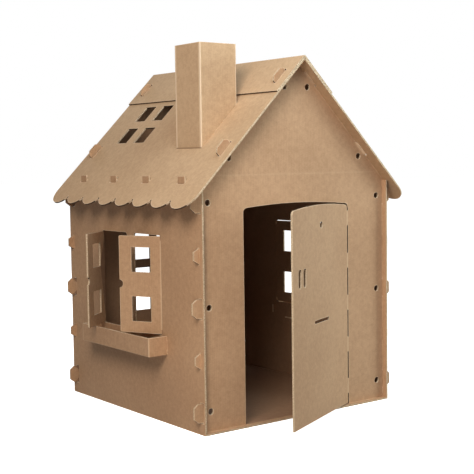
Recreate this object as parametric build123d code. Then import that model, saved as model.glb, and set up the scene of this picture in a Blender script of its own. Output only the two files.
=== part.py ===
"""Child's cardboard playhouse: flat boards slotted together with lock tabs.

Millimetres, +Z up, origin on the ground under the middle of the house.
The front with the door faces -Y, the side wall with the chimney above it faces -X.
"""
import math
import os

from build123d import *

# Board and fits
board = 6.0
fit_gap = 0.3
seat_gap = 0.2
cut_width = 3.0

# House body
house_width = 900.0
wall_length = 960.0
ridge_height = 1350.0
roof_slope = 45.0
gable_recess = 22.0

# Roof
verge = 31.0
eave_overhang = 127.5
scallop_count = 8
scallop_radius = 71.0
cap_leg = 190.0
cap_fold_radius = 4.0

# Skylight, four panes in each roof panel
pane_length = 78.0
pane_drop = 86.0
pane_bar_length = 54.0
pane_bar_drop = 42.0
skylight_y = 240.0
skylight_drop = 321.5

# Lock tabs of the gables
lock_width = 68.0
lock_tip_width = 40.0
lock_shank = 14.0
lock_reach = 32.0
roof_lock_reach = 26.0
lock_slack = 16.0
roof_lock_slack = 9.0
slot_corner = 5.0
slot_ease = 1.0
lock_ease = 3.0
lock_foot = 79.0
lock_head = 61.5
roof_lock_drops = (108.0, 476.0)

# Short tabs between the lock tabs
short_width = 57.0
short_tip_width = 30.0
short_reach = 23.0

# Finger holes beside the lock tabs
finger_hole = 23.0
finger_inset = 40.0
roof_finger_inset = 29.0
roof_finger_drops = (120.0, 486.0)

# Tabs of the side walls through the roof
roof_tab_width = 45.0
roof_tab_rise = 23.0
roof_tab_margin = 126.0
roof_tab_count = 4

# Door
door_width = 508.0
door_spring = 795.0
door_rise = 13.0
door_corner = 18.0
door_open = 25.0
door_lift = 5.0
door_head_gap = 6.0
hinge_cut = 8.0
hinge_bridge = 58.0
hinge_foot = 78.0
hinge_head = 57.0
hinge_count = 5
peephole = 25.0
peephole_drop = 68.0
grip_height = 546.0
grip_length = 68.0
grip_width = 24.0
grip_inset = 62.0
grip_pitch = 42.0
letter_height = 374.0
letter_length = 132.0
letter_width = 11.0

# Side windows with shutters
window_lift = 70.3
window_height = 370.0
window_width = 186.5
window_corner = 11.0
mullion = 50.0
shutter_edge_gap = 3.5
shutter_foot_gap = 3.5
shutter_head_gap = 3.5
shutter_corner = 4.0
shutter_pane_width = 84.0
shutter_pane_height = 93.0
shutter_pane_inset = 46.0
shutter_pane_pitch = 185.0
shutter_notch = 15.0
shutter_slit = 16.0
left_front_open = 26.0
left_back_open = 50.0
right_front_open = 6.0
right_back_open = 6.0

# Back window
back_pane_width = 81.0
back_pane_height = 186.0
back_bar = 37.0
back_lift = 81.3
back_columns = 3
back_rows = 2

# Flower boxes
box_length = 488.0
box_depth = 81.0
box_drop = 68.5
box_height = 69.0
box_tab_width = 70.0
box_end_tab = 36.0
box_tab_place = 120.0

# Chimney
chimney_size = 164.0
chimney_x = -246.0
chimney_y = -228.0
chimney_rise = 48.0
chimney_tab = 60.0
chimney_tab_reach = 10.0

# Derived levels and directions
slope = math.radians(roof_slope)
run = math.cos(slope)
fall = math.sin(slope)
half_width = house_width / 2
half_length = wall_length / 2
cap_under = board
panel_top = cap_under + seat_gap
panel_under = panel_top + board
gable_edge = panel_under + seat_gap
floor_top = board
gable_base = floor_top + seat_gap
gable_half = half_width - board - fit_gap
front_face = -half_length + gable_recess
back_face = half_length - gable_recess
roof_length = wall_length + 2 * verge
eave_reach = half_width / run + eave_overhang
scallop_pitch = (roof_length - 2 * scallop_radius) / (scallop_count - 1)
chimney_top = ridge_height + chimney_rise
wall_top = ridge_height - gable_edge / run - half_width * math.tan(slope)
lock_top = wall_top - lock_head
lock_heights = (lock_foot, (lock_foot + lock_top) / 2, lock_top)
short_heights = ((lock_heights[0] + lock_heights[1]) / 2, (lock_heights[1] + lock_heights[2]) / 2)
roof_tab_step = (wall_length - 2 * roof_tab_margin) / (roof_tab_count - 1)
roof_tab_places = [roof_tab_margin - half_length + i * roof_tab_step for i in range(roof_tab_count)]
door_apex = door_spring + door_rise
hinge_step = (door_spring - hinge_foot - hinge_head) / (hinge_count - 1)
peephole_height = door_spring - peephole_drop
window_sill = (wall_top - window_height) / 2 + window_lift
window_head = window_sill + window_height
shutter_bottom = window_sill + shutter_foot_gap
shutter_top = window_head - shutter_head_gap
shutter_width = window_width - shutter_edge_gap
box_base = window_sill - box_drop
back_height = back_rows * (back_pane_height + back_bar) - back_bar
back_sill = (wall_top - back_height) / 2 + back_lift


def roof_level(x, depth):
    """Height of the plane lying `depth` under the cap's top face, at `x`."""
    return ridge_height - depth / run - abs(x) * math.tan(slope)


def slope_point(drop, depth):
    """X and Z on the left slope, `drop` down from the ridge, `depth` under the cap's top."""
    x = -drop * run + depth * fall
    z = ridge_height - drop * fall - depth * run
    return x, z


def front_plane(y):
    """Sketch plane facing the front: sketch x is X and sketch y is Z."""
    return Plane(origin=(0, y, 0), x_dir=(1, 0, 0), z_dir=(0, -1, 0))


def side_plane(x):
    """Sketch plane facing +X: sketch x is Y and sketch y is Z."""
    return Plane(origin=(x, 0, 0), x_dir=(0, 1, 0), z_dir=(1, 0, 0))


def roof_plane(depth):
    """Sketch plane on the left slope: sketch x is Y and sketch y runs down the slope."""
    x, z = slope_point(0, depth)
    return Plane(origin=(x, 0, z), x_dir=(0, 1, 0), z_dir=(-fall, 0, run))


def rect(x0, x1, y0, y1):
    """Rectangle between two corners."""
    return Pos((x0 + x1) / 2, (y0 + y1) / 2) * Rectangle(x1 - x0, y1 - y0)


def soft_rect(x0, x1, y0, y1, radius):
    """Rectangle between two corners with rounded corners."""
    return Pos((x0 + x1) / 2, (y0 + y1) / 2) * RectangleRounded(x1 - x0, y1 - y0, radius)


def block(x0, x1, y0, y1, z0, z1):
    """Box between two corners."""
    centre = Pos((x0 + x1) / 2, (y0 + y1) / 2, (z0 + z1) / 2)
    return centre * Box(x1 - x0, y1 - y0, z1 - z0)


def tab_shape(root, outward, width, tip_width, shank, reach):
    """Tab outline on an edge point, pointing along `outward`, with a narrowed tip."""
    ox, oz = outward
    ax, az = -oz, ox
    outline = [
        (-board, -width / 2),
        (shank, -width / 2),
        (reach, -tip_width / 2),
        (reach, tip_width / 2),
        (shank, width / 2),
        (-board, width / 2),
    ]
    points = [(root[0] + p * ox + q * ax, root[1] + p * oz + q * az) for p, q in outline]
    return Polygon(*points, align=None)


def lock_slot(y0, slack, middle):
    """Slot for a lock tab whose board starts at `y0`, open by `slack` on its front side."""
    half = lock_width / 2 + lock_ease
    far = y0 + board + fit_gap
    slot = soft_rect(y0 - slack, far, middle - half, middle + half, slot_corner)
    return slot + rect(y0 - fit_gap, far, middle - half, middle + half)


def arched(x0, x1, z0, spring, apex, radius):
    """Upright panel outline with a shallow arch on top and rounded top corners."""
    sides = Polyline((x0, spring), (x0, z0), (x1, z0), (x1, spring))
    arch = ThreePointArc((x1, spring), ((x0 + x1) / 2, apex), (x0, spring))
    face = make_face(sides + arch)
    return fillet(face.vertices().sort_by(Axis.Y)[-2:], radius)


def gable_outline():
    """Gable board without openings: five-sided sheet with its tabs and finger holes."""
    shoulder = roof_level(gable_half, gable_edge)
    apex = roof_level(0, gable_edge)
    outline = Polygon(
        (-gable_half, gable_base),
        (gable_half, gable_base),
        (gable_half, shoulder),
        (0, apex),
        (-gable_half, shoulder),
        align=None,
    )
    through_wall = half_width - gable_half
    through_roof = gable_edge - panel_top
    for side in (-1, 1):
        outward = (side, 0)
        for z in lock_heights:
            outline += tab_shape(
                (side * gable_half, z),
                outward,
                lock_width,
                lock_tip_width,
                through_wall + lock_shank,
                through_wall + lock_reach,
            )
            outline -= Pos(side * (half_width - finger_inset), z) * Circle(finger_hole / 2)
        for z in short_heights:
            outline += tab_shape(
                (side * gable_half, z),
                outward,
                short_width,
                short_tip_width,
                through_wall,
                through_wall + short_reach,
            )
        for drop in roof_lock_drops:
            x, z = slope_point(drop, gable_edge)
            outline += tab_shape(
                (-side * x, z),
                (side * fall, run),
                lock_width,
                lock_tip_width,
                through_roof + lock_shank,
                through_roof + roof_lock_reach,
            )
        for drop in roof_finger_drops:
            x, z = slope_point(drop, gable_edge + roof_finger_inset)
            outline -= Pos(-side * x, z) * Circle(finger_hole / 2)
    return outline


def hinge_rods(x, y, spans):
    """Bent board along a crease: one upright rod for each (bottom, top) span."""
    rods = [Pos(x, y, (a + b) / 2) * Cylinder(board / 2, b - a) for a, b in spans]
    return rods


def leaf_plate(face, x, y, along):
    """Board plate standing on a hinge line, its sketch x running along `along`."""
    ax, ay = along
    plane = Plane(origin=(x, y, 0), x_dir=(ax, ay, 0), z_dir=(ay, -ax, 0))
    return extrude(plane * face, board / 2, both=True)


def door_spans():
    """Heights at which the door stays joined to the front gable."""
    half = hinge_bridge / 2
    middles = [hinge_foot + i * hinge_step for i in range(hinge_count)]
    return [(m - half, m + half) for m in middles]


def front_gable():
    """Front gable with the doorway cut and the door swung out on its crease."""
    half_door = door_width / 2
    half_cut = cut_width / 2
    half_hinge = hinge_cut / 2
    y_mid = front_face + board / 2
    opening = arched(
        -half_door,
        half_door + half_hinge,
        gable_base - board,
        door_spring,
        door_apex,
        door_corner,
    )
    sheet = gable_outline() - opening
    for a, b in door_spans():
        sheet += rect(half_door, half_door + hinge_cut, a, b)
    leaf = arched(
        half_hinge,
        door_width - half_cut,
        gable_base + door_lift,
        door_spring - door_head_gap,
        door_apex - door_head_gap,
        door_corner,
    )
    for a, b in door_spans():
        leaf += rect(0, hinge_cut, a, b)
    middle = door_width / 2
    leaf -= Pos(middle, peephole_height) * Circle(peephole / 2)
    leaf -= Pos(middle, letter_height) * SlotOverall(letter_length, letter_width)
    for step in (0, 1):
        u = door_width - grip_inset - step * grip_pitch
        leaf -= Pos(u, grip_height) * SlotOverall(grip_length, grip_width, rotation=90)
    swing = math.radians(door_open)
    body = extrude(front_plane(front_face + board) * sheet, board)
    body += leaf_plate(leaf, half_door, y_mid, (-math.cos(swing), -math.sin(swing)))
    body += hinge_rods(half_door, y_mid, door_spans())
    return body


def back_gable():
    """Back gable, the same sheet with a window of six panes instead of the door."""
    sheet = gable_outline()
    pitch_x = back_pane_width + back_bar
    pitch_z = back_pane_height + back_bar
    for column in range(back_columns):
        x = (column - (back_columns - 1) / 2) * pitch_x
        for row in range(back_rows):
            z = back_sill + back_pane_height / 2 + row * pitch_z
            sheet -= Pos(x, z) * Rectangle(back_pane_width, back_pane_height)
    return extrude(front_plane(back_face) * sheet, board)


def shutter_face():
    """Shutter outline with two square panes and a half-round notch, hinge at sketch x 0."""
    half_cut = cut_width / 2
    middle = (shutter_bottom + shutter_top) / 2
    leaf = soft_rect(half_cut, shutter_width, shutter_bottom, shutter_top, shutter_corner)
    pane_x = shutter_pane_inset + shutter_pane_width / 2
    for side in (-1, 1):
        z = middle + side * shutter_pane_pitch / 2
        leaf -= Pos(pane_x, z) * Rectangle(shutter_pane_width, shutter_pane_height)
    leaf -= Pos(shutter_width, middle) * Circle(shutter_notch)
    leaf += rect(0, cut_width, shutter_bottom + shutter_slit, shutter_top - shutter_slit)
    return leaf


def left_wall(front_open, back_open):
    """Side wall on the -X side with its window, shutters, slots and roof tabs."""
    tab_top = roof_level(half_width, panel_top) + roof_tab_rise
    half_cut = cut_width / 2
    sheet = rect(-half_length, half_length, 0, wall_top)
    for y in roof_tab_places:
        sheet += rect(y - roof_tab_width / 2, y + roof_tab_width / 2, wall_top - board, tab_top)
    half_short = short_width / 2 + slot_ease
    for y0 in (front_face, back_face - board):
        near = y0 - fit_gap
        far = y0 + board + fit_gap
        for z in lock_heights:
            sheet -= lock_slot(y0, lock_slack, z)
        for z in short_heights:
            sheet -= rect(near, far, z - half_short, z + half_short)
    span = (shutter_bottom + shutter_slit, shutter_top - shutter_slit)
    hinge = mullion / 2 + window_width
    for side in (-1, 1):
        inner = side * mullion / 2
        outer = side * (hinge + half_cut)
        sheet -= soft_rect(min(inner, outer), max(inner, outer), window_sill, window_head, window_corner)
        edge = sorted((side * hinge, side * (hinge + cut_width)))
        sheet += rect(edge[0], edge[1], span[0], span[1])
    bottom_slot = (box_base - fit_gap, box_base + board + fit_gap)
    tab_half = box_tab_width / 2 + fit_gap
    end_mid = box_base + box_height / 2
    end_half = box_end_tab / 2 + fit_gap
    for side in (-1, 1):
        y = side * box_tab_place
        sheet -= rect(y - tab_half, y + tab_half, bottom_slot[0], bottom_slot[1])
        y = side * (box_length - board) / 2
        across = board / 2 + fit_gap
        sheet -= rect(y - across, y + across, end_mid - end_half, end_mid + end_half)
    body = extrude(side_plane(-half_width) * sheet, board)
    x_mid = -half_width + board / 2
    for side, angle in ((-1, front_open), (1, back_open)):
        swing = math.radians(angle)
        along = (-math.sin(swing), -side * math.cos(swing))
        body += leaf_plate(shutter_face(), x_mid, side * hinge, along)
        body += hinge_rods(x_mid, side * hinge, [span])
    return body


def wall_tab_slot(y):
    """Slot in a roof panel for one upright tab of the side wall."""
    wide = roof_tab_width / 2 + slot_ease
    lower = (half_width + panel_under * fall) / run + fit_gap
    upper = (half_width - board + panel_top * fall) / run - fit_gap
    return rect(y - wide, y + wide, upper, lower)


def roof_slots(drop):
    """Slots for the gable tabs at one place down the slope, front and back."""
    front = lock_slot(front_face, roof_lock_slack, drop)
    return front + lock_slot(back_face - board, roof_lock_slack, drop)


def left_roof(with_chimney):
    """Roof panel on the -X side with scalloped eave, skylight and slots."""
    half = roof_length / 2
    upper = panel_under * math.tan(slope) + seat_gap
    line = eave_reach - scallop_radius
    sheet = rect(-half, half, upper, line)
    for i in range(scallop_count):
        y = (i - (scallop_count - 1) / 2) * scallop_pitch
        lobe = Pos(y, line) * Circle(scallop_radius)
        sheet += lobe & rect(-half, half, line - 1, eave_reach + 1)
    for drop in roof_lock_drops:
        sheet -= roof_slots(drop)
    for y in roof_tab_places:
        sheet -= wall_tab_slot(y)
    for column in (-1, 1):
        y = skylight_y + column * (pane_length + pane_bar_length) / 2
        for row in (-1, 1):
            drop = skylight_drop + row * (pane_drop + pane_bar_drop) / 2
            sheet -= Pos(y, drop) * Rectangle(pane_length, pane_drop)
    if with_chimney:
        wide = chimney_tab / 2 + slot_ease
        drop = chimney_drop()
        for y in chimney_tab_lines():
            across = board / 2 + fit_gap
            sheet -= rect(y - across, y + across, drop - wide, drop + wide)
    return extrude(roof_plane(panel_under) * sheet, board)


def ridge_cap():
    """Folded cap over both roof panels, slotted for the upper gable tabs."""
    ends = slope_point(cap_leg, 0)
    inner = slope_point(cap_leg, cap_under)
    profile = Polygon(
        (0, ridge_height),
        ends,
        inner,
        (0, roof_level(0, cap_under)),
        (-inner[0], inner[1]),
        (-ends[0], ends[1]),
        align=None,
    )
    profile = fillet(profile.vertices().sort_by(Axis.Y)[-1], cap_fold_radius)
    cap = extrude(front_plane(roof_length / 2) * profile, roof_length)
    cut = extrude(roof_plane(cap_under + board) * roof_slots(roof_lock_drops[0]), 3 * board)
    return cap - cut - cut.mirror(Plane.YZ)


def chimney_drop():
    """Distance down the slope to the middle of the chimney's foot."""
    return (-chimney_x + panel_top * fall) / run


def chimney_tab_lines():
    """Y of the two chimney walls that carry tabs, at mid board."""
    reach = (chimney_size - board) / 2
    return chimney_y - reach, chimney_y + reach


def chimney():
    """Square folded tube cut to the roof slope, with two tabs through the panel."""
    half = chimney_size / 2
    inside = half - board
    foot = panel_top - seat_gap
    base = roof_level(abs(chimney_x) + chimney_size, panel_under)
    tube = block(chimney_x - half, chimney_x + half, chimney_y - half, chimney_y + half, base, chimney_top)
    tube -= block(
        chimney_x - inside,
        chimney_x + inside,
        chimney_y - inside,
        chimney_y + inside,
        base - board,
        chimney_top + board,
    )
    below = rect(-roof_length, roof_length, -eave_reach, 2 * eave_reach)
    tube -= extrude(roof_plane(foot) * below, -eave_reach)
    root = slope_point(chimney_drop(), foot)
    reach = panel_under - foot + chimney_tab_reach
    tab = tab_shape(root, (fall, -run), chimney_tab, chimney_tab, reach, reach)
    for y in chimney_tab_lines():
        tube += extrude(front_plane(y + board / 2) * tab, board)
    return tube


def left_box():
    """Flower box on the -X side: base, front and two ends folded from one sheet."""
    wall = -half_width - seat_gap
    front = wall - box_depth
    half = box_length / 2
    top = box_base + box_height
    inside = -half_width + board
    tray = block(front, wall, -half, half, box_base, box_base + board)
    tray += block(front, front + board, -half, half, box_base, top)
    end_mid = (box_base + top) / 2
    for side in (-1, 1):
        ends = sorted((side * half, side * (half - board)))
        tray += block(front, wall, ends[0], ends[1], box_base, top)
        tray += block(
            wall - board,
            inside,
            ends[0],
            ends[1],
            end_mid - box_end_tab / 2,
            end_mid + box_end_tab / 2,
        )
        y = side * box_tab_place
        tray += block(
            wall - board,
            inside,
            y - box_tab_width / 2,
            y + box_tab_width / 2,
            box_base,
            box_base + board,
        )
    return tray


def floor_sheet():
    """Floor lying between the side walls, under both gables."""
    return block(-gable_half, gable_half, -half_length, half_length, 0, floor_top)


def pieces():
    """All boards of the house by name."""
    box = left_box()
    far_wall = left_wall(right_back_open, right_front_open)
    return {
        "floor_sheet": floor_sheet(),
        "left_side_wall": left_wall(left_front_open, left_back_open),
        "right_side_wall": far_wall.rotate(Axis.Z, 180),
        "front_gable_wall": front_gable(),
        "back_gable_wall": back_gable(),
        "left_roof_panel": left_roof(True),
        "right_roof_panel": left_roof(False).mirror(Plane.YZ),
        "ridge_cap": ridge_cap(),
        "chimney": chimney(),
        "left_flower_box": box,
        "right_flower_box": box.mirror(Plane.YZ),
    }


def main():
    """Build every board and write one STEP file for each."""
    os.makedirs("parts", exist_ok=True)
    for name, shape in pieces().items():
        solid = shape.solid()
        solid.label = name
        export_step(solid, f"parts/{name}.step")


if __name__ == "__main__":
    main()
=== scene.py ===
"""Looks of the cardboard playhouse: kraft liners, fluted cut edges, folds and a plain studio.

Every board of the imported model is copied, merged and sorted into liner faces and cut edges, so
that each kind of surface gets its own paper finish. Metres, +Z up, door towards -Y.
"""
from __future__ import annotations
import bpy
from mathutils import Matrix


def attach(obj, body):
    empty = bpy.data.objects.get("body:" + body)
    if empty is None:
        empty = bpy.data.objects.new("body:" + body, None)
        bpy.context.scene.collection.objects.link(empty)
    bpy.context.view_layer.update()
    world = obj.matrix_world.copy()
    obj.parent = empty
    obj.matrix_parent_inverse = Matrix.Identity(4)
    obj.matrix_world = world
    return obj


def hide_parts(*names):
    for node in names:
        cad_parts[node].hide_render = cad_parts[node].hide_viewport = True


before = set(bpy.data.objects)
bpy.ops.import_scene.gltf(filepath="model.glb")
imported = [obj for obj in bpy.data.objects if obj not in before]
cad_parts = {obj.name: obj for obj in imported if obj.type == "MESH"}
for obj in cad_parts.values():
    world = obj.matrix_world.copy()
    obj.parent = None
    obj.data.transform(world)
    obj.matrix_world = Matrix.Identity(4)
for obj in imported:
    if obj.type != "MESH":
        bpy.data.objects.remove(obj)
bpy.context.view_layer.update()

import logging
import math
from dataclasses import dataclass, field
from enum import Enum
from typing import Iterable, Union

import bmesh
import bpy
from mathutils import Matrix, Vector
from mathutils.bvhtree import BVHTree

LOG = logging.getLogger("playhouse")
Pair = tuple[float, float]
Triple = tuple[float, float, float]
Colour = Triple
Number = Union[int, float]
BODY = "root"
UV_NAME = "board"
RIM_WEAR_AND_HIGHLIGHT = "rub_and_highlight"

# Lengths: board thickness and its slack, rim band of wear and painted highlight, widest narrow cut,
# start of a probe, merging
BOARD = 0.006
BOARD_SLACK = 0.0008
RIM = 0.0028
NARROW = 0.012
PROBE_START = 0.0002
MERGE = 0.00001
CUT_MERGE = 0.000001

# Cosines: faces of one plane, edges on a fold, faces square to another, edges with the flutes, level
FLAT = 0.9995
ON_FOLD = 0.999
SQUARE = 0.5
WITH_FLUTES = 0.7
LEVEL = 0.95

# Rounding of folds: angle of faces joined before it, number of its facets, its round section
JOIN_ANGLE = 0.01
FOLD_FACETS = 3
ROUND_SECTION = 0.5

# Directions: up, along and across the house, and a slanted one that tells all corners apart
UP = (0.0, 0.0, 1.0)
LENGTHWISE = (0.0, 1.0, 0.0)
CROSSWISE = (1.0, 0.0, 0.0)
SWEEP = Vector((0.577, 0.211, 0.789))

WHITE = (1.0, 1.0, 1.0, 1.0)


class Paper(Enum):
    """Kinds of surface that a board shows, in the order of its material slots."""

    LINER = 0
    # Faces towards the room: the liner painted darker for the shade inside the house.
    INSIDE = 1
    WAVE_CUT = 2
    CHANNEL_CUT = 3
    # Painted shade: dark paper inside narrow cuts and on cut edges that face down.
    SLIT = 4


class Axis(Enum):
    """Object axes by their index."""

    X = 0
    Y = 1
    Z = 2


class Sock:
    """Output of a shader node that takes part in arithmetic."""

    def __init__(self, tree: "Tree", socket: bpy.types.NodeSocket) -> None:
        """Keeps the socket and the tree that it belongs to."""
        self.tree = tree
        self.socket = socket

    def _math(self, operation: str, first: "Term", second: "Term" = 0.0) -> "Sock":
        """Adds a Math node.

        Args:
            operation: The Math node's operation.
            first: First value or socket.
            second: Second value or socket.

        Returns:
            The node's output.
        """
        made = self.tree.node("ShaderNodeMath", {"operation": operation}, {0: first, 1: second})
        return self.tree.out(made, 0)

    def __add__(self, other: "Term") -> "Sock":
        """Sum."""
        return self._math("ADD", self, other)

    def __radd__(self, other: Number) -> "Sock":
        """Sum with a number on the left."""
        return self._math("ADD", other, self)

    def __sub__(self, other: "Term") -> "Sock":
        """Difference."""
        return self._math("SUBTRACT", self, other)

    def __rsub__(self, other: Number) -> "Sock":
        """Difference from a number."""
        return self._math("SUBTRACT", other, self)

    def __mul__(self, other: "Term") -> "Sock":
        """Product."""
        return self._math("MULTIPLY", self, other)

    def __rmul__(self, other: Number) -> "Sock":
        """Product with a number on the left."""
        return self._math("MULTIPLY", other, self)

    def __abs__(self) -> "Sock":
        """Absolute value."""
        return self._math("ABSOLUTE", self)

    def sine(self) -> "Sock":
        """Sine of the value in radians."""
        return self._math("SINE", self)

    def top(self, other: "Term") -> "Sock":
        """Larger of two values."""
        return self._math("MAXIMUM", self, other)

    def step(self, low: float, high: float) -> "Sock":
        """Smooth step.

        Args:
            low: Value that gives 0.
            high: Value that gives 1.

        Returns:
            The eased value between 0 and 1.
        """
        made = self.tree.node(
            "ShaderNodeMapRange",
            {"interpolation_type": "SMOOTHSTEP"},
            {"Value": self, "From Min": low, "From Max": high},
        )
        return self.tree.out(made, "Result")


Term = Union[Sock, int, float]


@dataclass(frozen=True)
class Speckle:
    """Scale and detail of a noise.

    Attributes:
        cells: Cells per unit of length.
        octaves: Number of octaves.
        finer: Share of the finer octaves.
    """

    cells: float
    octaves: float
    finer: float = 0.5


class Tree:
    """Node tree of one material or of the surroundings."""

    def __init__(self, owner: bpy.types.Material | bpy.types.World) -> None:
        """Empties the owner's tree."""
        self.owner = owner
        owner.use_nodes = True
        self.tree = owner.node_tree
        self.tree.nodes.clear()

    @classmethod
    def named(cls, name: str) -> "Tree":
        """Tree of a new material."""
        return cls(bpy.data.materials.new(name))

    def node(
        self,
        kind: str,
        settings: dict[str, object] | None = None,
        inputs: dict[int | str, object] | None = None,
    ) -> bpy.types.Node:
        """Adds one node.

        Args:
            kind: Blender's name of the node type.
            settings: Properties, set before the sockets.
            inputs: Values or links of the sockets, by name or index.

        Returns:
            The new node.
        """
        made = self.tree.nodes.new(kind)
        for key, value in (settings or {}).items():
            setattr(made, key, value)
        for key, value in (inputs or {}).items():
            if isinstance(value, Sock):
                self.tree.links.new(value.socket, made.inputs[key])
            else:
                made.inputs[key].default_value = value
        return made

    def out(self, made: bpy.types.Node, key: int | str) -> Sock:
        """Output of a node as a Sock."""
        return Sock(self, made.outputs[key])

    def coordinates(self) -> tuple[Sock, Sock]:
        """Object coordinates and the board's own map.

        Returns:
            The Object vector and the UV vector.
        """
        place = self.node("ShaderNodeTexCoord")
        board = self.node("ShaderNodeUVMap", {"uv_map": UV_NAME})
        return self.out(place, "Object"), self.out(board, "UV")

    def split(self, vector: Sock) -> tuple[Sock, Sock, Sock]:
        """X, Y and Z of a vector."""
        made = self.node("ShaderNodeSeparateXYZ", None, {0: vector})
        return self.out(made, 0), self.out(made, 1), self.out(made, 2)

    def stretched(self, vector: Sock, scale: Triple) -> Sock:
        """Vector scaled along its axes."""
        made = self.node("ShaderNodeMapping", None, {"Vector": vector, "Scale": scale})
        return self.out(made, 0)

    def noise(self, vector: Sock, speckle: Speckle) -> Sock:
        """Noise value.

        Args:
            vector: Where the noise is read.
            speckle: Its scale and detail.

        Returns:
            The noise, about 0.5 on average.
        """
        made = self.node(
            "ShaderNodeTexNoise",
            None,
            {
                "Vector": vector,
                "Scale": speckle.cells,
                "Detail": speckle.octaves,
                "Roughness": speckle.finer,
            },
        )
        return self.out(made, 0)

    def blend(self, share: Sock, first: Colour | Sock, second: Colour | Sock) -> Sock:
        """Colour mix.

        Args:
            share: Share of the second colour.
            first: Colour at share 0.
            second: Colour at share 1.

        Returns:
            The mixed colour.
        """
        wide = [c if isinstance(c, Sock) else (*c, 1.0) for c in (first, second)]
        made = self.node(
            "ShaderNodeMix",
            {"data_type": "RGBA", "clamp_factor": True},
            {0: share, 6: wide[0], 7: wide[1]},
        )
        return self.out(made, 2)

    def finish(
        self,
        colour: Sock,
        rough: Sock,
        height: Sock,
        depth: float,
        specular: float,
        glow: float = 0.0,
    ) -> bpy.types.Material:
        """Closes the tree with a paper surface.

        Args:
            colour: Base colour.
            rough: Roughness.
            height: Relief between 0 and 1.
            depth: Depth of the relief in metres.
            specular: Specular level, the same all over.
            glow: White light of the surface itself.

        Returns:
            The material.
        """
        relief = {"Strength": 1.0, "Distance": depth, "Height": height}
        bump = self.node("ShaderNodeBump", None, relief)
        shader = self.node(
            "ShaderNodeBsdfPrincipled",
            None,
            {
                "Base Color": colour,
                "Roughness": rough,
                "Normal": self.out(bump, 0),
                "Specular IOR Level": specular,
                "Emission Color": WHITE,
                "Emission Strength": glow,
            },
        )
        self.node("ShaderNodeOutputMaterial", None, {"Surface": self.out(shader, 0)})
        return self.owner


@dataclass(frozen=True)
class Score:
    """Straight line painted on a board, in Object coordinates: pale for rubbed folds with painted
    highlight, dark for painted shade.

    Attributes:
        across: Axis that the line is measured on.
        place: Position on that axis.
        width: Half width of the band.
        gain: Lightening of the band as wear and painted highlight, or darkening below zero as
            painted shade.
        along: Axis that the line runs on.
        span: Start and end on that axis.
    """

    across: Axis
    place: float
    width: float
    gain: float
    along: Axis
    span: Pair

    def mask(self, parts: tuple[Sock, Sock, Sock]) -> Sock:
        """Band of the line as a value between 0 and 1.

        Args:
            parts: Object coordinates, split.

        Returns:
            1 on the line, 0 away from it.
        """
        near = 1 - abs(parts[self.across.value] - self.place).step(0.0, self.width)
        low, high = self.span
        start = parts[self.along.value].step(low - self.width, low + self.width)
        stop = 1 - parts[self.along.value].step(high - self.width, high + self.width)
        return near * start * stop


@dataclass(frozen=True)
class Fold:
    """Fold line of a board, rounded over a small radius.

    Attributes:
        start: A point on the line.
        heading: Direction of the line.
        radius: Reach of the rounding about the line.
        bevel: Offset of the rounding made here, none at 0.
    """

    start: Triple
    heading: Triple
    radius: float
    bevel: float = 0.0

    def near(self, point: Vector) -> bool:
        """True if a point lies on the fold."""
        away = point - Vector(self.start)
        along = Vector(self.heading).normalized()
        return (away - along * away.dot(along)).length < self.radius

    def wraps(self, face: bmesh.types.BMFace) -> bool:
        """True if a face runs along the fold, and not across its end."""
        along = Vector(self.heading).normalized()
        return self.near(face.calc_center_median()) and abs(face.normal.dot(along)) < SQUARE


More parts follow.
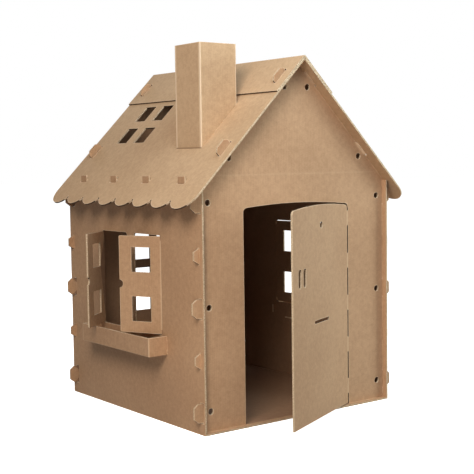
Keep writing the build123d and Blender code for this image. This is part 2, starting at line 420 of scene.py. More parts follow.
@dataclass(frozen=True)
class KraftLiner:
    """Brown kraft liner with its fibres, flecks and the faint ribs of the flutes.

    Attributes:
        light: Colour of the paler areas.
        dark: Colour of the deeper areas.
        fleck_and_shade: Colour of the dark fibres, and of lines of painted shade.
        pale: Colour of rubbed lines and of painted highlights on rims and folds.
        pitch: Flute pitch in metres.
        cloud: Soft clouds.
        mottle: Spots the size of a fingernail and smaller.
        grain: Finest grain.
        streak: Fibres, on the stretched map.
        fibres: Fibres per metre across and along the flutes.
        shares: Shares of clouds, mottling, fibres and flute ribs in the tone.
        tones: Tones that give the dark and the light colour.
        specks: Grain that starts and completes a fleck.
        strands: Fibre that starts and completes a fleck.
        flecks: Share of the fleck's colour.
        wear_and_highlight: Share of the pale colour along cut rims, partly wear and partly painted
            highlight.
        wear_and_highlight_base: Rim wear and painted highlight where the mottling is least.
        rough: Least roughness.
        rough_spread: Roughness that the mottling adds.
        heights: Shares of ribs, mottling and grain in the relief.
        relief: Depth of the relief in metres.
        specular: Specular level.
    """

    light: Colour
    dark: Colour
    fleck_and_shade: Colour
    pale: Colour
    pitch: float = 0.0078
    cloud: Speckle = Speckle(2.6, 3.0)
    mottle: Speckle = Speckle(60.0, 6.0, 0.70)
    grain: Speckle = Speckle(900.0, 2.0)
    streak: Speckle = Speckle(1.0, 4.0, 0.6)
    fibres: Triple = (70.0, 620.0, 1.0)
    shares: tuple[float, float, float, float] = (0.9, 1.15, 0.85, 0.10)
    tones: Pair = (0.05, 0.95)
    specks: Pair = (0.60, 0.72)
    strands: Pair = (0.42, 0.62)
    flecks: float = 0.55
    wear_and_highlight: float = 1.3
    wear_and_highlight_base: float = 0.15
    rough: float = 0.72
    rough_spread: float = 0.16
    heights: Triple = (0.45, 0.25, 0.30)
    relief: float = 0.00022
    specular: float = 0.28

    def material(self, name: str, scores: Iterable[Score]) -> bpy.types.Material:
        """Makes the liner for one board.

        Args:
            name: Material name.
            scores: Lines of that board, pale with rub and painted highlight or dark with painted
                shade.

        Returns:
            The material.
        """
        tree = Tree.named(name)
        place, board = tree.coordinates()
        parts = tree.split(place)
        across, _, _ = tree.split(board)
        rim_rub_and_highlight = tree.out(tree.node("ShaderNodeAttribute", {"attribute_name": RIM_WEAR_AND_HIGHLIGHT}), "Fac")
        cloud = tree.noise(place, self.cloud)
        mottle = tree.noise(place, self.mottle)
        streak = tree.noise(tree.stretched(board, self.fibres), self.streak)
        grain = tree.noise(place, self.grain)
        rib = (across * (2 * math.pi / self.pitch)).sine() * 0.5 + 0.5
        in_cloud, in_mottle, in_streak, in_rib = self.shares
        centre = (sum(self.shares) - 1) / 2
        tone = cloud * in_cloud + mottle * in_mottle + streak * in_streak + rib * in_rib - centre
        colour = tree.blend(tone.step(*self.tones), self.dark, self.light)
        specks = grain.step(*self.specks) * streak.step(*self.strands)
        colour = tree.blend(specks * self.flecks, colour, self.fleck_and_shade)
        # Pale band along cut rims: partly wear, partly painted highlight of rims catching the light.
        colour = tree.blend(rim_rub_and_highlight * (mottle + self.wear_and_highlight_base) * self.wear_and_highlight, colour, self.pale)
        # Pale lines: fold wear with painted highlight. Dark lines: painted shade, in the fibres'
        # colour.
        for score in scores:
            share = score.mask(parts) * abs(score.gain)
            colour = tree.blend(share, colour, self.pale if score.gain > 0 else self.fleck_and_shade)
        rough = mottle * self.rough_spread + self.rough
        of_rib, of_mottle, of_grain = self.heights
        height = rib * of_rib + mottle * of_mottle + grain * of_grain
        return tree.finish(colour, rough, height, self.relief, self.specular)


@dataclass(frozen=True)
class CutEdge:
    """Cut edge of double-wall board: three liners with flutes or channels between them.

    Attributes:
        paper: Colour of the cut paper.
        hollow_shade: Colour of the hollows between the papers, painted darker for the shade inside
            them.
        pitches: Flute pitch of each of the two layers, in metres.
        middles: Middle of each layer, as a share of the board.
        swing: Height of the flutes to either side of that middle.
        liners: Places of the three liners, as shares of the board.
        rim_band: Distances at which the first liner starts and stops to fade.
        liner_band: The same for the other liners.
        flute_band: The same for the flutes.
        ragged: Torn fibres.
        torn: Raggedness that starts and completes a torn fibre.
        torn_share: Height of the torn fibres along the flutes.
        shares: Shares of paper and raggedness in the tone.
        tones: Tones that give the hollow's and the paper's colour.
        rough: Least roughness.
        rough_spread: Roughness that the raggedness adds.
        relief: Depth of the hollows in metres.
        specular: Specular level.
    """

    paper: Colour
    hollow_shade: Colour
    pitches: Pair = (0.0065, 0.0079)
    middles: Pair = (0.27, 0.75)
    swing: float = 0.19
    liners: Triple = (0.03, 0.52, 0.97)
    rim_band: Pair = (0.05, 0.12)
    liner_band: Pair = (0.04, 0.10)
    flute_band: Pair = (0.05, 0.13)
    ragged: Speckle = Speckle(420.0, 3.0)
    torn: Pair = (0.42, 0.62)
    torn_share: float = 0.75
    shares: Pair = (0.85, 0.25)
    tones: Pair = (0.05, 0.95)
    rough: float = 0.85
    rough_spread: float = 0.1
    relief: float = 0.0007
    specular: float = 0.2

    def material(self, name: str, kind: Paper) -> bpy.types.Material:
        """Makes one of the two cut edges.

        Args:
            name: Material name.
            kind: Cut across the flutes or along them.

        Returns:
            The material.
        """
        tree = Tree.named(name)
        place, board = tree.coordinates()
        run, through, _ = tree.split(board)
        ragged = tree.noise(place, self.ragged)
        first, *others = self.liners
        core = 1 - abs(through - first).step(*self.rim_band)
        for level in others:
            core = core.top(1 - abs(through - level).step(*self.liner_band))
        if kind is Paper.WAVE_CUT:
            for pitch, middle in zip(self.pitches, self.middles):
                wave = (run * (2 * math.pi / pitch)).sine() * self.swing + middle
                core = core.top(1 - abs(through - wave).step(*self.flute_band))
        else:
            core = core.top(ragged.step(*self.torn) * self.torn_share)
        of_paper, of_ragged = self.shares
        tone = core * of_paper + ragged * of_ragged
        # Hollows between the papers take the darker colour: painted shade inside the flutes.
        colour = tree.blend(tone.step(*self.tones), self.hollow_shade, self.paper)
        rough = ragged * self.rough_spread + self.rough
        return tree.finish(colour, rough, core, self.relief, self.specular)


@dataclass
class PaperStock:
    """Papers that all boards share, each made once.

    Attributes:
        inside: Liner of the faces towards the room, painted darker for the shade inside the house.
        edge: Finish of open cut edges.
        slit: Painted shade: a dark finish inside narrow cuts and on cut edges that face down.
        made: Papers made so far.
    """

    inside: KraftLiner
    edge: CutEdge
    slit: CutEdge
    made: dict[Paper, bpy.types.Material] = field(default_factory=dict, init=False)

    def get(self, kind: Paper) -> bpy.types.Material:
        """Gives a shared paper and makes it the first time.

        Args:
            kind: The paper.

        Returns:
            Its material.
        """
        if kind not in self.made:
            name = f"kraft_{kind.name.lower()}"
            if kind is Paper.INSIDE:
                self.made[kind] = self.inside.material(name, ())
            elif kind is Paper.SLIT:
                self.made[kind] = self.slit.material(name, Paper.CHANNEL_CUT)
            else:
                self.made[kind] = self.edge.material(name, kind)
        return self.made[kind]


@dataclass(frozen=True)
class Room:
    """Space between the walls, which the inner liner faces; that liner is painted darker for the
    shade in it.

    Attributes:
        half_x: Half its width.
        half_y: Half its length, to the middle of the gable boards.
        ridge: Height under the ridge.
        probe: Distance from a face at which the space is tested.
    """

    half_x: float = 0.444
    half_y: float = 0.455
    ridge: float = 1.330
    probe: float = 0.02

    def faced_by(self, face: bmesh.types.BMFace) -> bool:
        """True if a face looks into the room."""
        point = face.calc_center_median() + face.normal * self.probe
        within = abs(point.x) < self.half_x and abs(point.y) < self.half_y
        return within and 0.0 < point.z < self.ridge - abs(point.x)

    def split(self, shape: bmesh.types.BMesh) -> None:
        """Cuts a board that runs past both gables along their planes.

        Args:
            shape: The board's mesh.
        """
        reach = [v.co.y for v in shape.verts]
        if min(reach) > -self.half_y or max(reach) < self.half_y:
            return
        for place in (-self.half_y, self.half_y):
            bmesh.ops.bisect_plane(
                shape,
                geom=shape.verts[:] + shape.edges[:] + shape.faces[:],
                dist=CUT_MERGE,
                plane_co=(0.0, place, 0.0),
                plane_no=LENGTHWISE,
            )


@dataclass
class BoardSkin:
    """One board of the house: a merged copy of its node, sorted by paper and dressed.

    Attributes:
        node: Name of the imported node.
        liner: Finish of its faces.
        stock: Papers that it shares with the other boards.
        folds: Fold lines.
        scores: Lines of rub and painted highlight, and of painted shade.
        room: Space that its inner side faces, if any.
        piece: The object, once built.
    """

    node: str
    liner: KraftLiner
    stock: PaperStock
    folds: tuple[Fold, ...] = ()
    scores: tuple[Score, ...] = ()
    room: Room | None = None
    piece: bpy.types.Object | None = field(default=None, init=False)

    def build(self) -> None:
        """Copies the node, rounds its folds, sorts its faces and marks their rims."""
        shape = bmesh.new()
        shape.from_mesh(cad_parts[self.node].data)
        bmesh.ops.remove_doubles(shape, verts=shape.verts[:], dist=MERGE)
        self._round(shape)
        if self.room:
            self.room.split(shape)
        self._sort(shape)
        mesh = bpy.data.meshes.new(f"{self.node}_skin")
        shape.to_mesh(mesh)
        shape.free()
        self.piece = bpy.data.objects.new(f"{self.node}_skin", mesh)
        bpy.context.scene.collection.objects.link(self.piece)

    def dress(self) -> None:
        """Gives the papers to the piece and sets it in place of its node."""
        assert self.piece is not None
        materials = self.piece.data.materials
        materials.append(self.liner.material(f"{self.node}_liner", self.scores))
        for kind in list(Paper)[1:]:
            materials.append(self.stock.get(kind))
        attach(self.piece, BODY)
        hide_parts(self.node)
        LOG.info("%s: %d faces", self.piece.name, len(self.piece.data.polygons))

    def _round(self, shape: bmesh.types.BMesh) -> None:
        """Rounds the sharp folds that have a bevel.

        Args:
            shape: The board's mesh.
        """
        for fold in self.folds:
            if not fold.bevel:
                continue
            bmesh.ops.dissolve_limit(
                shape,
                angle_limit=JOIN_ANGLE,
                verts=shape.verts[:],
                edges=shape.edges[:],
            )
            heading = Vector(fold.heading).normalized()
            edges = [e for e in shape.edges if self._on_fold(e, fold, heading)]
            bmesh.ops.bevel(
                shape,
                geom=edges,
                offset=fold.bevel,
                segments=FOLD_FACETS,
                profile=ROUND_SECTION,
                affect="EDGES",
                material=-1,
            )
            self._put_in_order(shape)

    @staticmethod
    def _put_in_order(shape: bmesh.types.BMesh) -> None:
        """Orders the elements by their place alone, so that each run gives the same mesh.

        Args:
            shape: The board's mesh.
        """
        shape.verts.sort(key=lambda v: v.co.dot(SWEEP))
        shape.edges.sort(key=lambda e: (e.verts[0].co + e.verts[1].co).dot(SWEEP))
        shape.faces.sort(key=lambda f: f.calc_center_median().dot(SWEEP))

    @staticmethod
    def _on_fold(edge: bmesh.types.BMEdge, fold: Fold, heading: Vector) -> bool:
        """True if an edge lies along a fold."""
        ends = [v.co for v in edge.verts]
        straight = abs((ends[1] - ends[0]).normalized().dot(heading)) > ON_FOLD
        return straight and all(fold.near(p) for p in ends)

    def _sort(self, shape: bmesh.types.BMesh) -> None:
        """Gives each face its paper and its map, and the cut rims their band of wear and painted
        highlight.

        Args:
            shape: The board's mesh.
        """
        shape.normal_update()
        layer = shape.loops.layers.uv.new(UV_NAME)
        solid = BVHTree.FromBMesh(shape)
        groups = self._flat_groups(shape)
        plains = [group for group in groups if self._is_wide(group)]
        liners = {face for group in plains for face in group}
        liners |= {face for group in groups for face in group if self._wraps(group)}
        for face in shape.faces:
            face.smooth = False
            if face in liners:
                # Faces towards the room take the darker liner: painted shade of the room.
                indoors = self.room is not None and self.room.faced_by(face)
                face.material_index = (Paper.INSIDE if indoors else Paper.LINER).value
                self._map_liner(face, layer)
            else:
                face.material_index = self._map_edge(face, layer, liners, solid).value
        room_paper = Paper.INSIDE.value
        outer = [g for g in plains if all(f.material_index != room_paper for f in g)]
        self._mark_rim_wear_and_highlight(shape, outer, layer)

    def _mark_rim_wear_and_highlight(
        self,
        shape: bmesh.types.BMesh,
        plains: list[list[bmesh.types.BMFace]],
        mapped: bmesh.types.BMLayerItem,
    ) -> None:
        """Sets a narrow band along the cut rims of the liners, with a value of 1 on the rim, which
        the liner paints pale as wear and painted highlight.

        Args:
            shape: The board's mesh.
            plains: Its liner faces away from the room, plane by plane.
            mapped: The UV layer.
        """
        layer = shape.loops.layers.float.new(RIM_WEAR_AND_HIGHLIGHT)
        flat = (Paper.LINER.value, Paper.INSIDE.value)
        for plain in plains:
            outward = plain[0].normal.copy()
            band = bmesh.ops.inset_region(
                shape,
                faces=plain,
                thickness=RIM,
                depth=0.0,
                use_boundary=True,
                use_even_offset=False,
                use_interpolate=True,
            )["faces"]
            for face in band:
                for loop in face.loops:
                    if any(f.material_index not in flat for f in loop.edge.link_faces):
                        loop[layer] = 1.0
                        loop.link_loop_next[layer] = 1.0
            core = set(plain)
            inner = [e for f in band for e in f.edges if any(g in core for g in e.link_faces)]
            bmesh.ops.delete(shape, geom=plain, context="FACES_KEEP_BOUNDARY")
            self._fill(shape, inner, outward, mapped)

    def _fill(
        self,
        shape: bmesh.types.BMesh,
        rim: list[bmesh.types.BMEdge],
        outward: Vector,
        mapped: bmesh.types.BMLayerItem,
    ) -> None:
        """Closes a plane within its rim by liner faces.

        Args:
            shape: The board's mesh.
            rim: Edges of the outline and of the holes.
            outward: Normal of the plane.
            mapped: The UV layer.
        """
        filled = bmesh.ops.triangle_fill(shape, edges=rim, use_beauty=True, normal=outward)
        for face in filled["geom"]:
            if isinstance(face, bmesh.types.BMFace):
                face.normal_update()
                if face.normal.dot(outward) < 0:
                    face.normal_flip()
                face.smooth = False
                self._map_liner(face, mapped)

    @staticmethod
    def _flat_groups(shape: bmesh.types.BMesh) -> list[list[bmesh.types.BMFace]]:
        """Gathers neighbouring faces that lie in one plane.

        Args:
            shape: The board's mesh.

        Returns:
            The groups of faces.
        """
        seen = set()
        groups = []
        for seed in shape.faces:
            if seed in seen:
                continue
            seen.add(seed)
            group = [seed]
            for face in group:
                for edge in face.edges:
                    for other in edge.link_faces:
                        if other not in seen and other.normal.dot(seed.normal) > FLAT:
                            seen.add(other)
                            group.append(other)
            groups.append(group)
        return groups

    @staticmethod
    def _is_wide(group: list[bmesh.types.BMFace]) -> bool:
        """True if a plane is wider than the board is thick.

        Args:
            group: Faces of one plane.

        Returns:
            Whether the plane is a liner.
        """
        area = sum(f.calc_area() for f in group)
        plane = set(group)
        rim = 0.0
        for face in group:
            for edge in face.edges:
                if sum(other in plane for other in edge.link_faces) == 1:
                    rim += edge.calc_length()
        return 2 * area > rim * (BOARD + BOARD_SLACK)

    def _wraps(self, group: list[bmesh.types.BMFace]) -> bool:
        """True if faces run round one of the board's folds."""
        return any(fold.wraps(f) for f in group for fold in self.folds)

    @staticmethod
    def _flute(normal: Vector) -> Vector:
        """Direction of the flutes in a board with that normal."""
        up = Vector(UP if abs(normal.z) < LEVEL else CROSSWISE)
        return (up - normal * up.dot(normal)).normalized()

    def _map_liner(self, face: bmesh.types.BMFace, layer: bmesh.types.BMLayerItem) -> None:
        """Maps a liner face in metres, u across the flutes and v along them.

        Args:
            face: The face.
            layer: The board's map.
        """
        flute = self._flute(face.normal)
        across = flute.cross(face.normal)
        for loop in face.loops:
            loop[layer].uv = (loop.vert.co.dot(across), loop.vert.co.dot(flute))

    def _map_edge(
        self,
        face: bmesh.types.BMFace,
        layer: bmesh.types.BMLayerItem,
        liners: set[bmesh.types.BMFace],
        solid: BVHTree,
    ) -> Paper:
        """Maps a cut edge, u along it in metres and v through the board from 0 to 1.

        Args:
            face: The face.
            layer: The board's map.
            liners: The liner faces of the board.
            solid: The board's faces, for the distance across a cut.

        Returns:
            The kind of cut.
        """
        beside = [o for e in face.edges for o in e.link_faces if o in liners]
        square = [o.normal for o in beside if abs(o.normal.dot(face.normal)) < SQUARE]
        through = square[0] if square else face.normal.orthogonal()
        run = face.normal.cross(through).normalized()
        depths = [loop.vert.co.dot(through) for loop in face.loops]
        low = min(depths)
        reach = max(max(depths) - low, BOARD / 2)
        for loop, depth in zip(face.loops, depths):
            loop[layer].uv = (loop.vert.co.dot(run), (depth - low) / reach)
        start = face.calc_center_median() + face.normal * PROBE_START
        # Cut edges inside narrow cuts or facing down get the dark paper: painted shade where little
        # light reaches.
        facing_down = face.normal.z < -SQUARE
        if facing_down or solid.ray_cast(start, face.normal, NARROW)[0] is not None:
            return Paper.SLIT
        with_flutes = abs(run.dot(self._flute(through))) > WITH_FLUTES
        return Paper.CHANNEL_CUT if with_flutes else Paper.WAVE_CUT


# Roof and chimney kraft: painted paler and yellower than the walls' liner of the same board, as
# painted sheen on the lit slopes.
ROOF_LINER_PAINTED_SHEEN = KraftLiner(
    light=(0.606, 0.398, 0.233),
    dark=(0.456, 0.281, 0.154),
    fleck_and_shade=(0.244, 0.139, 0.068),
    pale=(0.830, 0.620, 0.420),
)
WALL_LINER = KraftLiner(
    light=(0.546, 0.331, 0.188),
    dark=(0.402, 0.227, 0.120),
    fleck_and_shade=(0.222, 0.122, 0.059),
    pale=(0.780, 0.570, 0.375),
)
# The same kraft painted about half as dark for the faces towards the room: painted shade of the dim
# inside.
INSIDE_LINER_PAINTED_SHADE = KraftLiner(
    light=(0.350, 0.198, 0.112),
    dark=(0.264, 0.142, 0.076),
    fleck_and_shade=(0.150, 0.085, 0.042),
    pale=(0.520, 0.370, 0.230),
)
STOCK = PaperStock(
    inside=INSIDE_LINER_PAINTED_SHADE,
    edge=CutEdge(paper=(0.800, 0.610, 0.410), hollow_shade=(0.400, 0.262, 0.150)),
    # Dark paper and hollows of the painted shade in narrow cuts and under cut edges that face down.
    slit=CutEdge(paper=(0.105, 0.058, 0.030), hollow_shade=(0.040, 0.021, 0.011)),
)
ROOM = Room()


@dataclass
class Walls:
    """Front and back gables and both side walls.

    Attributes:
        half_width: Half the width over the side walls.
        front_face: Y of the front gable's outer face.
        door_hinge: X of the door's crease.
        door_top: Height of the door's crease.
        window_hinge: Y of the shutters' creases from the middle.
        window_span: Heights of those creases.
        fold_height: Height of the gables' packing fold.
        crease_reach: Reach of the creases' rounding.
        fold_rub_and_highlight: Half width and gain of the pale rub and painted highlight on the
            packing fold.
        door_rub_and_highlight: The same on the door's crease.
        door_foot: Height at which that rub and highlight starts.
        shutter_rub_and_highlight: Half width and gain of the pale rub and painted highlight on the
            shutters' creases.
    """

    half_width: float = 0.450
    front_face: float = -0.458
    door_hinge: float = 0.254
    door_top: float = 0.795
    window_hinge: float = 0.2115
    window_span: Pair = (0.346, 0.677)
    fold_height: float = 0.915
    crease_reach: float = 0.0036
    fold_rub_and_highlight: Pair = (0.006, 0.09)
    door_rub_and_highlight: Pair = (0.006, 0.45)
    door_foot: float = 0.04
    shutter_rub_and_highlight: Pair = (0.005, 0.45)
    skins: list[BoardSkin] = field(default_factory=list, init=False)

    def build(self) -> None:
        """Makes the four boards."""
        self.skins = [self._gable(True), self._gable(False), self._side(-1), self._side(1)]
        for skin in self.skins:
            skin.build()

    def dress(self) -> None:
        """Dresses the four boards."""
        for skin in self.skins:
            skin.dress()

    def _gable(self, front: bool) -> BoardSkin:
        """One gable board.

        Args:
            front: True for the gable with the door.

        Returns:
            The board.
        """
        span = (-self.half_width, self.half_width)
        # Pale band on the packing fold: rub and painted highlight.
        fold = Score(Axis.Z, self.fold_height, *self.fold_rub_and_highlight, Axis.X, span)
        if not front:
            return BoardSkin("back_gable_wall", WALL_LINER, STOCK, scores=(fold,), room=ROOM)
        middle = self.front_face + BOARD / 2
        crease = Fold((self.door_hinge, middle, 0.0), UP, self.crease_reach)
        height = (self.door_foot, self.door_top)
        # Pale band on the door's crease: rub and painted highlight.
        rub_and_highlight = Score(Axis.X, self.door_hinge, *self.door_rub_and_highlight, Axis.Z, height)
        return BoardSkin("front_gable_wall", WALL_LINER, STOCK, (crease,), (fold, rub_and_highlight), ROOM)

    def _side(self, side: int) -> BoardSkin:
        """One side wall.

        Args:
            side: -1 for the wall at -X, 1 for the other.

        Returns:
            The board.
        """
        middle = side * (self.half_width - BOARD / 2)
        folds = []
        scores = []
        for end in (-1, 1):
            y = end * self.window_hinge
            folds.append(Fold((middle, y, 0.0), UP, self.crease_reach))
            # Pale band on each shutter crease: rub and painted highlight.
            scores.append(Score(Axis.Y, y, *self.shutter_rub_and_highlight, Axis.Z, self.window_span))
        name = "left_side_wall" if side < 0 else "right_side_wall"
        return BoardSkin(name, WALL_LINER, STOCK, tuple(folds), tuple(scores), ROOM)


@dataclass
class Roof:
    """Two scalloped panels under a folded ridge cap.

    Attributes:
        ridge: Height of the cap's fold.
        half_length: Half the roof's length.
        fold_reach: Reach of that fold's rounding.
        fold_rub_and_highlight: Half width and gain of the pale rub and painted highlight on it.
    """

    ridge: float = 1.350
    half_length: float = 0.511
    fold_reach: float = 0.006
    fold_rub_and_highlight: Pair = (0.005, 0.55)
    skins: list[BoardSkin] = field(default_factory=list, init=False)

    def build(self) -> None:
        """Makes the three boards."""
        fold = Fold((0.0, 0.0, self.ridge - BOARD / 2), LENGTHWISE, self.fold_reach)
        span = (-self.half_length, self.half_length)
        # Pale band on the cap's fold: rub and painted highlight.
        rub_and_highlight = Score(Axis.X, 0.0, *self.fold_rub_and_highlight, Axis.Y, span)
        self.skins = [
            BoardSkin("left_roof_panel", ROOF_LINER_PAINTED_SHEEN, STOCK),
            BoardSkin("right_roof_panel", ROOF_LINER_PAINTED_SHEEN, STOCK),
            BoardSkin("ridge_cap", ROOF_LINER_PAINTED_SHEEN, STOCK, (fold,), (rub_and_highlight,)),
        ]
        for skin in self.skins:
            skin.build()

    def dress(self) -> None:
        """Dresses the three boards."""
        for skin in self.skins:
            skin.dress()


@dataclass
class Chimney:
    """Square folded tube on the left slope.

    Attributes:
        x: Middle of the tube across the house.
        y: Middle of the tube along the house.
        half: Half its width.
        foot: Height of its lowest edge.
        fold_radius: Rounding of its four folds.
        fold_reach: Distance within which an edge counts as one of them.
        corner_rub_and_highlight: Half width and gain of the pale rub and painted highlight on the
            folds.
        corner_reach: Reach of that rub and highlight to either side.
        foot_shade: Half width and gain of the shade on the lowest edge.
        foot_reach: Reach of that shade to either side.
    """

    x: float = -0.246
    y: float = -0.228
    half: float = 0.082
    foot: float = 1.0135
    fold_radius: float = 0.0025
    fold_reach: float = 0.0035
    corner_rub_and_highlight: Pair = (0.007, 1.0)
    corner_reach: float = 0.008
    foot_shade: Pair = (0.007, -0.9)
    foot_reach: float = 0.010
    skin: BoardSkin | None = field(default=None, init=False)

    def build(self) -> None:
        """Makes the tube with its four rounded folds."""
        folds = []
        scores = []
        for sx in (-1, 1):
            for sy in (-1, 1):
                corner = (self.x + sx * self.half, self.y + sy * self.half, 0.0)
                folds.append(Fold(corner, UP, self.fold_reach, self.fold_radius))
        for sy in (-1, 1):
            edge = self.y + sy * self.half
            span = (edge - self.corner_reach, edge + self.corner_reach)
            for sx in (-1, 1):
                line = self.x + sx * self.half
                # Pale bands on the folds: rub and painted highlight.
                scores.append(Score(Axis.X, line, *self.corner_rub_and_highlight, Axis.Y, span))
        # Dark band along the foot of the outer face: painted contact shadow.
        outer = self.x - self.half
        span = (outer - self.foot_reach, outer + self.foot_reach)
        scores.append(Score(Axis.Z, self.foot, *self.foot_shade, Axis.X, span))
        self.skin = BoardSkin("chimney", ROOF_LINER_PAINTED_SHEEN, STOCK, tuple(folds), tuple(scores))
        self.skin.build()

    def dress(self) -> None:
        """Dresses the tube."""
        assert self.skin is not None
        self.skin.dress()


@dataclass
class FlowerBoxes:
    """Folded trays under both side windows.

    Attributes:
        outer: Distance of the trays' fronts from the middle of the house.
        base: Height of the trays' undersides.
        half_length: Half the length of the trays.
        fold_radius: Rounding of the fold along the front.
        fold_reach: Distance within which an edge counts as that fold.
        front_rub_and_highlight: Half width and gain of the pale rub and painted highlight on that
            fold.
        end_rub_and_highlight: The same on the ends of the front.
        rub_and_highlight_reach: Reach of the rubs and highlights to either side of the front.
    """

    outer: float = 0.5312
    base: float = 0.258
    half_length: float = 0.244
    fold_radius: float = 0.0025
    fold_reach: float = 0.0035
    front_rub_and_highlight: Pair = (0.004, 0.5)
    end_rub_and_highlight: Pair = (0.005, 0.8)
    rub_and_highlight_reach: float = 0.003
    skins: list[BoardSkin] = field(default_factory=list, init=False)

    def build(self) -> None:
        """Makes both trays."""
        for side, name in ((-1, "left_flower_box"), (1, "right_flower_box")):
            front = side * self.outer
            fold = Fold((front, 0.0, self.base), LENGTHWISE, self.fold_reach, self.fold_radius)
            span = (front - self.rub_and_highlight_reach, front + self.rub_and_highlight_reach)
            # Pale bands on the front fold and its ends: rub and painted highlight.
            rubs_and_highlights = [Score(Axis.Z, self.base, *self.front_rub_and_highlight, Axis.X, span)]
            for end in (-self.half_length, self.half_length):
                rubs_and_highlights.append(Score(Axis.Y, end, *self.end_rub_and_highlight, Axis.X, span))
            self.skins.append(BoardSkin(name, WALL_LINER, STOCK, (fold,), tuple(rubs_and_highlights)))
        for skin in self.skins:
            skin.build()

    def dress(self) -> None:
        """Dresses both trays."""
        for skin in self.skins:
            skin.dress()


@dataclass
class FloorBoard:
    """Plain sheet that the house stands on."""

    skin: BoardSkin | None = field(default=None, init=False)

    def build(self) -> None:
        """Makes the sheet."""
        self.skin = BoardSkin("floor_sheet", WALL_LINER, STOCK, room=ROOM)
        self.skin.build()

    def dress(self) -> None:
        """Dresses the sheet."""
        assert self.skin is not None
        self.skin.dress()


@dataclass(frozen=True)
class Softbox:
    """Square area light.

    Attributes:
        name: Light name.
        place: Position.
        size: Side length.
        power: Watts.
        tint: Colour of the light.
        aim: Point that it faces.
    """

    name: str
    place: Triple
    size: float
    power: float
    tint: Colour = (1.0, 1.0, 1.0)
    aim: Triple = (0.0, 0.0, 0.7)

    def set_up(self) -> None:
        """Adds the light to the scene."""
        data = bpy.data.lights.new(self.name, "AREA")
        data.size = self.size
        data.energy = self.power
        data.color = self.tint
        lamp = bpy.data.objects.new(self.name, data)
        lamp.visible_camera = False
        bpy.context.scene.collection.objects.link(lamp)
        ahead = Vector(self.aim) - Vector(self.place)
        turn = ahead.to_track_quat("-Z", "Y").to_matrix().to_4x4()
        lamp.matrix_world = Matrix.Translation(self.place) @ turn


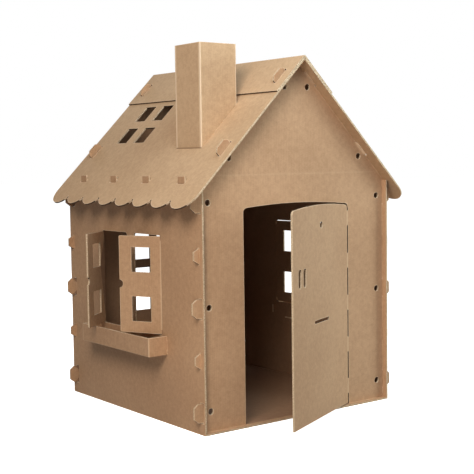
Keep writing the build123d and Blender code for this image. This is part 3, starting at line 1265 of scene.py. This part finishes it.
@dataclass
class Studio:
    """Pale floor, soft light and the camera.

    Attributes:
        floor_radius: Radius of the floor.
        floor_sides: Sides of its outline.
        floor_tones: Its two greys.
        floor_cloud: Clouds of one in the other.
        floor_rough: Its least roughness and what the clouds add.
        floor_relief: Depth of its relief in metres.
        floor_specular: Its specular level.
        floor_glow: Light of the floor itself, which keeps it pale.
        fill: Strength of the surroundings.
        lamps: The softboxes.
        camera_place: Camera position.
        yaw: Heading from +Y towards +X, in degrees.
        pitch: Downward tilt, in degrees.
        roll: Roll, in degrees.
        lens: Focal length in millimetres.
        sensor: Width of the picture behind that lens in millimetres.
        farthest: Distance up to which things are seen.
    """

    floor_radius: float = 40.0
    floor_sides: int = 96
    floor_tones: tuple[Colour, Colour] = ((0.90, 0.90, 0.90), (0.94, 0.94, 0.94))
    floor_cloud: Speckle = Speckle(3.0, 3.0)
    floor_rough: Pair = (0.85, 0.1)
    floor_relief: float = 0.0001
    floor_specular: float = 0.1
    floor_glow: float = 1.0
    fill: float = 0.13
    lamps: tuple[Softbox, ...] = (
        Softbox("key", (-2.65, -2.23, 2.70), 1.5, 100.0, (1.00, 0.95, 0.89)),
        Softbox("top", (-0.26, -1.46, 2.59), 1.5, 30.0, (0.70, 0.88, 1.00)),
        Softbox("side", (3.43, -1.98, 1.10), 1.5, 100.4, (0.89, 1.00, 0.97)),
        Softbox("low", (-1.10, -1.20, 0.24), 0.5, 3.4, (1.00, 0.90, 0.76), (-0.42, -0.40, 0.26)),
        Softbox("rear", (1.20, 4.20, 2.40), 2.0, 82.0),
    )
    camera_place: Triple = (-2.54298, -3.45195, 0.97632)
    yaw: float = 37.047
    pitch: float = 4.303
    roll: float = -0.806
    lens: float = 79.79
    sensor: float = 36.0
    farthest: float = 200.0

    def build(self) -> None:
        """Sets the floor, the light and the camera."""
        self._floor()
        self._light()
        self._camera()
        bpy.context.scene.view_settings.view_transform = "Standard"

    def _floor(self) -> None:
        """Large pale disc under the house."""
        shape = bmesh.new()
        bmesh.ops.create_circle(
            shape, cap_ends=True, segments=self.floor_sides, radius=self.floor_radius
        )
        mesh = bpy.data.meshes.new("studio_floor")
        shape.to_mesh(mesh)
        shape.free()
        floor = bpy.data.objects.new("studio_floor", mesh)
        bpy.context.scene.collection.objects.link(floor)
        tree = Tree.named("pale_floor")
        place, _ = tree.coordinates()
        cloud = tree.noise(place, self.floor_cloud)
        colour = tree.blend(cloud, *self.floor_tones)
        least, spread = self.floor_rough
        rough = cloud * spread + least
        finish = tree.finish(
            colour, rough, cloud, self.floor_relief, self.floor_specular, self.floor_glow
        )
        mesh.materials.append(finish)
        floor.visible_diffuse = False

    def _light(self) -> None:
        """White surroundings and the softboxes."""
        world = bpy.data.worlds.new("studio")
        tree = Tree(world)
        seen = tree.out(tree.node("ShaderNodeLightPath"), "Is Camera Ray")
        level = tree.node(
            "ShaderNodeMapRange",
            None,
            {"Value": seen, "To Min": self.fill, "To Max": 1.0},
        )
        back = tree.node(
            "ShaderNodeBackground",
            None,
            {"Color": WHITE, "Strength": tree.out(level, "Result")},
        )
        tree.node("ShaderNodeOutputWorld", None, {"Surface": tree.out(back, 0)})
        bpy.context.scene.world = world
        for lamp in self.lamps:
            lamp.set_up()

    def _camera(self) -> None:
        """Camera at the photograph's place."""
        data = bpy.data.cameras.new("camera")
        data.lens = self.lens
        data.sensor_width = self.sensor
        data.clip_end = self.farthest
        camera = bpy.data.objects.new("camera", data)
        bpy.context.scene.collection.objects.link(camera)
        yaw, pitch, roll = (math.radians(a) for a in (self.yaw, self.pitch, self.roll))
        ahead = Vector(
            (
                math.sin(yaw) * math.cos(pitch),
                math.cos(yaw) * math.cos(pitch),
                -math.sin(pitch),
            )
        )
        level = Vector((math.cos(yaw), -math.sin(yaw), 0.0))
        upright = level.cross(ahead)
        right = math.cos(roll) * level + math.sin(roll) * upright
        up = math.cos(roll) * upright - math.sin(roll) * level
        turn = Matrix((right, up, -ahead)).transposed().to_4x4()
        camera.matrix_world = Matrix.Translation(self.camera_place) @ turn
        bpy.context.scene.camera = camera


def main() -> None:
    """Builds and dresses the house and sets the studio."""
    logging.basicConfig(level=logging.INFO, format="%(name)s %(message)s")
    for group in (FloorBoard(), Walls(), Roof(), Chimney(), FlowerBoxes()):
        group.build()
        group.dress()
    Studio().build()
    bpy.context.view_layer.update()


if __name__ == "__main__":
    main()
